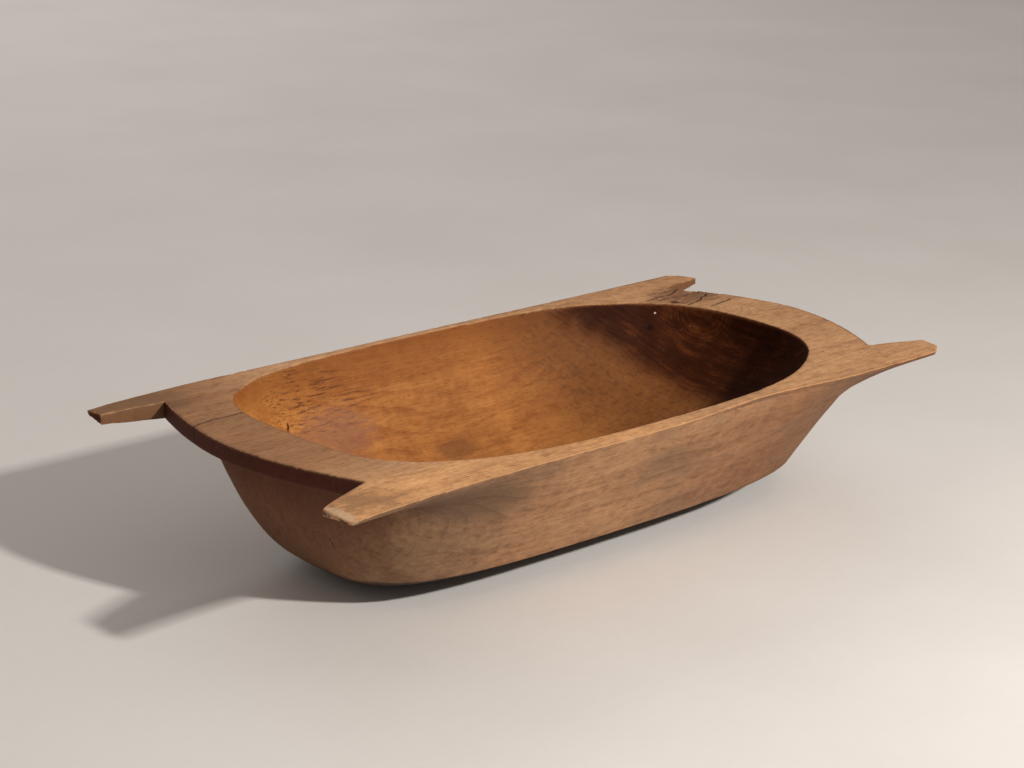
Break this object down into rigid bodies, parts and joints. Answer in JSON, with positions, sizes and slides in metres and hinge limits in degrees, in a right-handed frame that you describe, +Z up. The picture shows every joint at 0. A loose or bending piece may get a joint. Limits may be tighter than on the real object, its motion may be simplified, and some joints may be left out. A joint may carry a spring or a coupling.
{
  "type": "dough trough",
  "caption": "Long carved wooden trough with a deep oval bowl, wide end rims, thin side rims and flat handle lugs that carry on its long sides.",
  "frame": {"origin": "under the middle of the trough, on the surface that it stands on", "axes": "+X along the trough, from the more upright notch end to the fuller end rim; +Y across it; +Z up"},
  "size_m": [1.022, 0.503, 0.195],
  "materials": {
    "wood": "hand-hewn hardwood, worn smooth, with an old brown patina and a greyer outside"
  },
  "bodies": {
    "root": {"dough_trough": "wood"}
  },
  "joints": []
}
